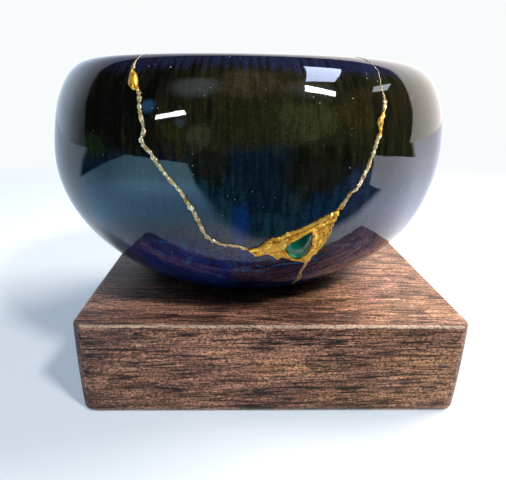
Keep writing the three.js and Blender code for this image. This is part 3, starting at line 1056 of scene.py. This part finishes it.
def makeWalnut():
    material, tree, shader = newMaterial("walnut", Roughness=0.5)
    real = addNode(tree, "SeparateXYZ", {0: placed(tree)})
    bend = noiseOn(tree, placed(tree, scale=(12, 26, 26)), 1.0, 2, 0.5)
    axes = addNode(tree, "SeparateXYZ", {0: placed(tree, location=(0.03, 0.02, 0.07), turn=(0, 1.5, 1.0))})
    across = calc(tree, "ADD", axes.outputs[1], calc(tree, "MULTIPLY", bend, 0.02))
    figure = noiseOn(tree, stretched(tree, axes, 0.22, across), 110, 5, 0.72)
    slanted = addNode(tree, "SeparateXYZ", {0: placed(tree, turn=(0, 44, 0))})
    slant = noiseOn(tree, stretched(tree, slanted, 0.22), 150, 2, 0.5)
    slantShare = calc(tree, "MULTIPLY", spread(tree, real.outputs[0], 0.022, 0.04), 0.75)
    figure = addNode(tree, "Mix", {0: slantShare, 2: figure, 3: slant}).outputs[0]
    fibres = noiseOn(tree, stretched(tree, axes, 0.06), 1500, 3, 0.7)
    lines = noiseOn(tree, stretched(tree, axes, 0.03), 760, 3, 0.6)
    flecks = noiseOn(tree, stretched(tree, axes, 0.6), 2300, 2, 0.75)
    dashes = noiseOn(tree, stretched(tree, axes, 0.05), 1900, 2, 0.6)
    hairs = noiseOn(tree, stretched(tree, axes, 0.035), 2900, 2, 0.55)
    gathered = spread(tree, figure, 0.56, 0.42, 0.0, 0.07)
    poreShare = spread(tree, calc(tree, "ADD", dashes, gathered), 0.6, 0.64)
    hairShare = calc(tree, "MULTIPLY", spread(tree, hairs, 0.58, 0.66), 0.7)
    poreShare = calc(tree, "MAXIMUM", poreShare, hairShare)

    colour = blendColours(tree, spread(tree, figure, 0.36, 0.62), plinth["dark"], plinth["light"])
    # random warmer tone in patches, plus painted light: the warm, lighter colour is painted stronger towards +X, the
    # lit right side
    warmToneAndRightLight = noiseOn(tree, placed(tree, scale=(1, 1, 3)), 38, 2, 0.5)
    warmToneAndRightLight = calc(tree, "ADD", warmToneAndRightLight, calc(tree, "MULTIPLY", real.outputs[0], 3.0))
    colour = blendColours(tree, spread(tree, warmToneAndRightLight, 0.45, 0.68, 0.0, 0.55), colour, plinth["warm"])
    colour = blendColours(tree, spread(tree, lines, 0.4, 0.6, 0.0, 0.5), colour, plinth["mid"])
    for value, low, high in ((fibres, 0.5, 1.6), (flecks, 0.25, 2.1)):
        shade = spread(tree, value, 0.34, 0.66, low, high)
        shade = addNode(tree, "CombineColor", {0: shade, 1: shade, 2: shade}).outputs[0]
        colour = blendColours(tree, 1.0, colour, shade, "MULTIPLY")
    colour = blendColours(tree, calc(tree, "MULTIPLY", poreShare, 0.92), colour, plinth["pore"])
    # painted light: the top face is painted up to 1.3 times lighter than the sides
    paintedTopLight = spread(tree, real.outputs[2], plinthTop * mm - 0.0004, plinthTop * mm - 0.0001, 1.0, 1.3)
    paintedTopLight = addNode(tree, "CombineColor", {0: paintedTopLight, 1: paintedTopLight, 2: paintedTopLight}).outputs[0]
    colour = blendColours(tree, 1.0, colour, paintedTopLight, "MULTIPLY")

    # painted highlight: the eased top edges are painted light where they catch the light, and the eased foot edge
    # half as strongly where it catches light bounced off the floor
    half = plinth["side"] / 2 * mm
    side = calc(tree, "MAXIMUM", calc(tree, "ABSOLUTE", real.outputs[0]), calc(tree, "ABSOLUTE", real.outputs[1]))
    atSide = spread(tree, side, half - 0.0009, half - 0.0005)
    atTop = spread(tree, real.outputs[2], plinthTop * mm - 0.00075, plinthTop * mm - 0.0004)
    atFoot = spread(tree, real.outputs[2], 0.0018, 0.0006)
    paintedEdgeLight = calc(tree, "ADD", calc(tree, "MULTIPLY", atSide, atTop), calc(tree, "MULTIPLY", atFoot, 0.5), clamp=True)
    paintedEdgeLight = calc(tree, "MULTIPLY", paintedEdgeLight, spread(tree, flecks, 0.35, 0.6, 0.2, 0.9))
    colour = blendColours(tree, paintedEdgeLight, colour, plinth["paintedEdgeLight"])
    tree.links.new(colour, shader.inputs["Base Color"])
    tree.links.new(spread(tree, flecks, 0.3, 0.7, 0.34, 0.55), shader.inputs["Roughness"])
    shader.inputs["Specular IOR Level"].default_value = 0.3
    relief = bumpFrom(tree, fibres, 0.00008)
    relief = bumpFrom(tree, calc(tree, "SUBTRACT", 1.0, poreShare), 0.0002, under=relief)
    tree.links.new(relief, shader.inputs["Normal"])
    return material


walnutBlock = makePlinth()
walnutBlock.data.materials.append(makeWalnut())
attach(walnutBlock, "root")
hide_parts("walnut_plinth")
print("walnut block made")


# Directions are [degrees from the front towards +X, degrees above level].
studio = {
    "paperLeft": rgb(0.78, 0.95, 1.15),
    "paperHighLeft": rgb(0.42, 0.42, 0.52),
    "paperRight": rgb(1.95, 1.8, 1.68),
    "room": rgb(0.012, 0.012, 0.01),
    "backdrop": rgb(0.94, 0.965, 0.97),
    "floor": rgb(0.82, 0.83, 0.84),
    "floorBounce": rgb(0.45, 0.45, 0.45),
    "floorShadowGlow": rgb(0.75, 0.95, 1.2),
    "floorNearLeft": rgb(0.5, 0.95, 1.5),
    "floorFarLeft": rgb(0.3, 0.6, 0.8),
    "floorBackLeft": rgb(0.62, 0.76, 0.92),
    "floorRight": rgb(2.3, 2.35, 2.8),
    "softboxes": [
        {"towards": [38, 45], "distance": 0.75, "watts": 4.6, "size": 0.09, "tint": (1.0, 0.97, 0.92)},
        {"towards": [112, 45], "distance": 0.9, "watts": 13.0, "size": 0.5, "tint": (1.0, 0.96, 0.9)},
        {"towards": [-40, 60], "distance": 0.9, "watts": 0.6, "size": 0.5, "tint": (0.75, 0.88, 1.0)},
    ],
    "glows": [
        {"towards": [-40, 48], "spread": 17, "tint": (0.62, 0.74, 0.85)},
        {"towards": [-61, 25], "spread": 7, "tint": (0.25, 0.9, 2.2)},
        {"towards": [-39, 17.5], "spread": 5, "tint": (0.2, 0.42, 0.8)},
        {"towards": [42, 47], "spread": 17, "tint": (0.55, 0.55, 0.55)},
    ],
    "cardDistance": 3.0,
    "leftWindow": [[-52.0, 16.6], [-52.2, 19.6], [-37.6, 25.6], [-35.8, 23.2]],
    "rightWindow": [[35.6, 44.5], [39.9, 51.7], [55, 40.6], [51.3, 36.0]],
    "curtain": [[122.0, 70.3], [116.0, 58.0], [66.0, 51.4], [44.8, 56.6]],
    "sideWindow": [[79, 34], [86, 38], [103, 35], [92, 31]],
}


def along(tree, vector, direction):
    return addNode(tree, "VectorMath", {0: vector, 1: direction}, operation="DOT_PRODUCT").outputs["Value"]


def makeWorld():
    world = bpy.data.worlds.new("studio")
    bpy.context.scene.world = world
    world.use_nodes = True
    tree = world.node_tree
    tree.nodes.clear()
    direction = addNode(tree, "TexCoord").outputs["Generated"]
    axes = addNode(tree, "SeparateXYZ", {0: direction})
    level = addNode(tree, "CombineXYZ", {0: axes.outputs[0], 1: axes.outputs[1]}).outputs[0]
    reach = addNode(tree, "VectorMath", {0: level}, operation="LENGTH").outputs["Value"]
    sideways = calc(tree, "DIVIDE", axes.outputs[0], reach)
    back = calc(tree, "DIVIDE", axes.outputs[1], reach)
    rise = calc(tree, "DIVIDE", axes.outputs[2], reach)

    # the paper stands behind and curves round both sides; its top edge falls towards the front
    rightShare = spread(tree, sideways, -0.6, 0.6)
    first = spread(tree, rightShare, 0.0, 1.0, 0.19, 0.13)
    width = spread(tree, rightShare, 0.0, 1.0, 0.36, 0.22)
    tall = spread(tree, rightShare, 0.0, 1.0, 1.0, 0.8)
    past = calc(tree, "MAXIMUM", calc(tree, "SUBTRACT", back, first), -0.2)
    fall = calc(tree, "EXPONENT", calc(tree, "DIVIDE", calc(tree, "MULTIPLY", past, -1.0), width))
    limit = calc(tree, "MULTIPLY", tall, calc(tree, "SUBTRACT", 1.0, fall))
    share = spread(tree, calc(tree, "SUBTRACT", limit, rise), -0.03, 0.05)
    left = blendColours(tree, spread(tree, rise, 0.2, 0.7), studio["paperLeft"], studio["paperHighLeft"])
    dimming = spread(tree, back, 0.12, 0.72, 0.12, 1.0)
    dimming = addNode(tree, "CombineColor", {0: dimming, 1: dimming, 2: dimming}).outputs[0]
    left = blendColours(tree, 1.0, left, dimming, "MULTIPLY")
    paper = blendColours(tree, spread(tree, axes.outputs[0], -0.5, 0.75), left, studio["paperRight"])

    dim = noiseOn(tree, direction, 2.5, 3, 0.6)
    room = blendColours(tree, spread(tree, dim, 0.35, 0.65, 0.2, 1.5), rgb(0, 0, 0), studio["room"])
    for glow in studio["glows"]:
        near = along(tree, direction, towards(*glow["towards"]))
        patch = calc(tree, "POWER", spread(tree, near, math.cos(math.radians(glow["spread"])), 1.0), 2.0)
        room = blendColours(tree, patch, room, rgb(*glow["tint"]), "ADD")
    light = blendColours(tree, share, room, paper)
    lit = addNode(tree, "Background", {"Color": light, "Strength": 1.0})
    seen = addNode(tree, "Background", {"Color": studio["backdrop"], "Strength": 1.0})
    toCamera = addNode(tree, "LightPath").outputs["Is Camera Ray"]
    mixed = addNode(tree, "MixShader", {0: toCamera, 1: lit.outputs[0], 2: seen.outputs[0]})
    addNode(tree, "OutputWorld", {"Surface": mixed.outputs[0]})


def makeFloor():
    bm = bmesh.new()
    bmesh.ops.create_grid(bm, x_segments=1, y_segments=1, size=4000)
    floor = makeObject("floor", bm)
    material, tree, shader = newMaterial("paperFloor", Roughness=0.9)
    shader.inputs["Specular IOR Level"].default_value = 0.1
    place = placed(tree)
    away = addNode(tree, "VectorMath", {0: place}, operation="LENGTH").outputs["Value"]
    bounce = addNode(tree, "LightPath").outputs["Is Diffuse Ray"]
    tree.links.new(blendColours(tree, bounce, studio["floor"], studio["floorBounce"]), shader.inputs["Base Color"])
    # painted light for the camera: near the work the floor mixes in 35% of a bluish glow, which lightens its shadows
    # and tints them blue; further out it turns wholly into the plain backdrop glow
    pale = blendColours(tree, spread(tree, away, 0.16, 0.5), studio["floorShadowGlow"], studio["backdrop"])
    glow = addNode(tree, "Emission", {"Color": pale, "Strength": 1.0})
    reach = spread(tree, away, 0.16, 0.5, 0.35, 1.0)
    seen = addNode(tree, "MixShader", {0: reach, 1: shader.outputs[0], 2: glow.outputs[0]})

    # painted reflection: for glossy rays the floor beyond about 0.1 m is a glow, so the bowl mirrors a bluer floor on
    # its left and a brighter one on its right, painted near black in two unlit regions in front
    heading = addNode(tree, "VectorMath", {0: place}, operation="NORMALIZE").outputs[0]
    axes = addNode(tree, "SeparateXYZ", {0: heading})
    left = blendColours(tree, spread(tree, away, 0.12, 0.45), studio["floorNearLeft"], studio["floorFarLeft"])
    front = spread(tree, axes.outputs[1], -0.65, -0.12, 2.6, 1.0)
    front = addNode(tree, "CombineColor", {0: front, 1: front, 2: front}).outputs[0]
    front = blendColours(tree, spread(tree, away, 0.1, 0.3), rgb(1, 1, 1), front)
    left = blendColours(tree, 1.0, left, front, "MULTIPLY")
    past = spread(tree, axes.outputs[1], 0.1, 0.6, 1.0, 0.55)
    past = addNode(tree, "CombineColor", {0: past, 1: past, 2: past}).outputs[0]
    right = blendColours(tree, 1.0, studio["floorRight"], past, "MULTIPLY")
    left = blendColours(tree, spread(tree, axes.outputs[1], -0.1, 0.3), left, studio["floorBackLeft"])
    colour = blendColours(tree, spread(tree, axes.outputs[0], -0.35, 0.8), left, right)
    spots = addNode(tree, "SeparateXYZ", {0: place})
    leftEnd = calc(tree, "SUBTRACT", spots.outputs[1], calc(tree, "MULTIPLY", spots.outputs[0], 0.42))
    rightEnd = calc(tree, "ADD", spots.outputs[1], calc(tree, "MULTIPLY", spots.outputs[0], 0.79))
    unlit = calc(tree, "MAXIMUM", spread(tree, leftEnd, 0.155, 0.175), spread(tree, rightEnd, 0.54, 0.57))
    behind = spread(tree, axes.outputs[1], 0.12, 0.2)
    lit = calc(tree, "MAXIMUM", calc(tree, "SUBTRACT", 1.0, unlit), behind)
    colour = blendColours(tree, lit, rgb(0.005, 0.005, 0.004), colour)
    mirrored = addNode(tree, "Emission", {"Color": colour, "Strength": 1.0})
    near = addNode(tree, "MixShader", {0: spread(tree, away, 0.07, 0.13), 1: shader.outputs[0],
                                       2: mirrored.outputs[0]})
    toGloss = addNode(tree, "LightPath").outputs["Is Glossy Ray"]
    mixed = addNode(tree, "MixShader", {0: toGloss, 1: seen.outputs[0], 2: near.outputs[0]})
    tree.links.new(mixed.outputs[0], tree.nodes["Material Output"].inputs["Surface"])
    floor.data.materials.append(material)


def stageCard(name, corners, material):
    bm = bmesh.new()
    bm.faces.new([bm.verts.new(corner) for corner in corners])
    bmesh.ops.triangulate(bm, faces=bm.faces, ngon_method="EAR_CLIP")
    card = makeObject(name, bm)
    card.data.materials.append(material)
    card.visible_camera = False
    card.visible_shadow = False
    card.visible_diffuse = False
    return card


def towards(azimuth, elevation):
    turn, rise = math.radians(azimuth), math.radians(elevation)
    return Vector((math.cos(rise) * math.sin(turn), -math.cos(rise) * math.cos(turn), math.sin(rise)))


def makeCards():
    # painted dark reflection: a dark card seen only in reflections, standing for the maker's own dark shape, lying on
    # the floor in front and clear along two of its sides
    material, tree, shader = newMaterial("darkCard", Roughness=1.0)
    shader.inputs["Base Color"].default_value = rgb(0.006, 0.006, 0.006)
    shader.inputs["Specular IOR Level"].default_value = 0.0
    axes = addNode(tree, "SeparateXYZ", {0: placed(tree)})
    slanted = calc(tree, "SUBTRACT", axes.outputs[0], calc(tree, "MULTIPLY", axes.outputs[1], 0.66))
    share = calc(tree, "MULTIPLY", spread(tree, slanted, 0.03, 0.054), spread(tree, axes.outputs[1], -0.08, -0.062, 1.0, 0.0))
    through = addNode(tree, "BsdfTransparent")
    mixed = addNode(tree, "MixShader", {0: share, 1: through.outputs[0], 2: shader.outputs[0]})
    tree.links.new(mixed.outputs[0], tree.nodes["Material Output"].inputs["Surface"])
    outline = [(-60, -58), (178, -56), (186, -85), (200, -113), (324, -163), (595, -270),
               (1001, -440), (4000, -1730), (4000, -4000), (-2769, -4000)]
    stageCard("darkCard", [(x, y, 1) for x, y in outline], material)
    for name, strength, tint in (("leftWindow", 40, (1, 1, 1)), ("rightWindow", 40, (1, 1, 1)),
                                 ("curtain", 14, (0.75, 0.87, 1.2)), ("sideWindow", 5, (0.85, 0.95, 1))):
        pane = bpy.data.materials.new(name)
        pane.use_nodes = True
        tree = pane.node_tree
        tree.nodes.clear()
        glow = addNode(tree, "Emission", {"Color": rgb(*tint), "Strength": float(strength)})
        addNode(tree, "OutputMaterial", {"Surface": glow.outputs[0]})
        corners = [towards(*corner) * studio["cardDistance"] / mm + Vector((0, 0, 66)) for corner in studio[name]]
        stageCard(name, corners, pane)


def makeSoftboxes():
    for number, box in enumerate(studio["softboxes"]):
        data = bpy.data.lights.new(f"softbox{number}", "AREA")
        data.energy = box["watts"]
        data.size = box["size"]
        data.color = box["tint"]
        lamp = bpy.data.objects.new(data.name, data)
        direction = towards(*box["towards"])
        lamp.location = direction * box["distance"] + Vector((0, 0, 0.04))
        lamp.rotation_euler = (-direction).to_track_quat("-Z", "Y").to_euler()
        lamp.visible_glossy = False
        bpy.context.scene.collection.objects.link(lamp)


makeWorld()
makeFloor()
makeCards()
makeSoftboxes()
bpy.context.scene.view_settings.view_transform = "Standard"
print("studio lit")
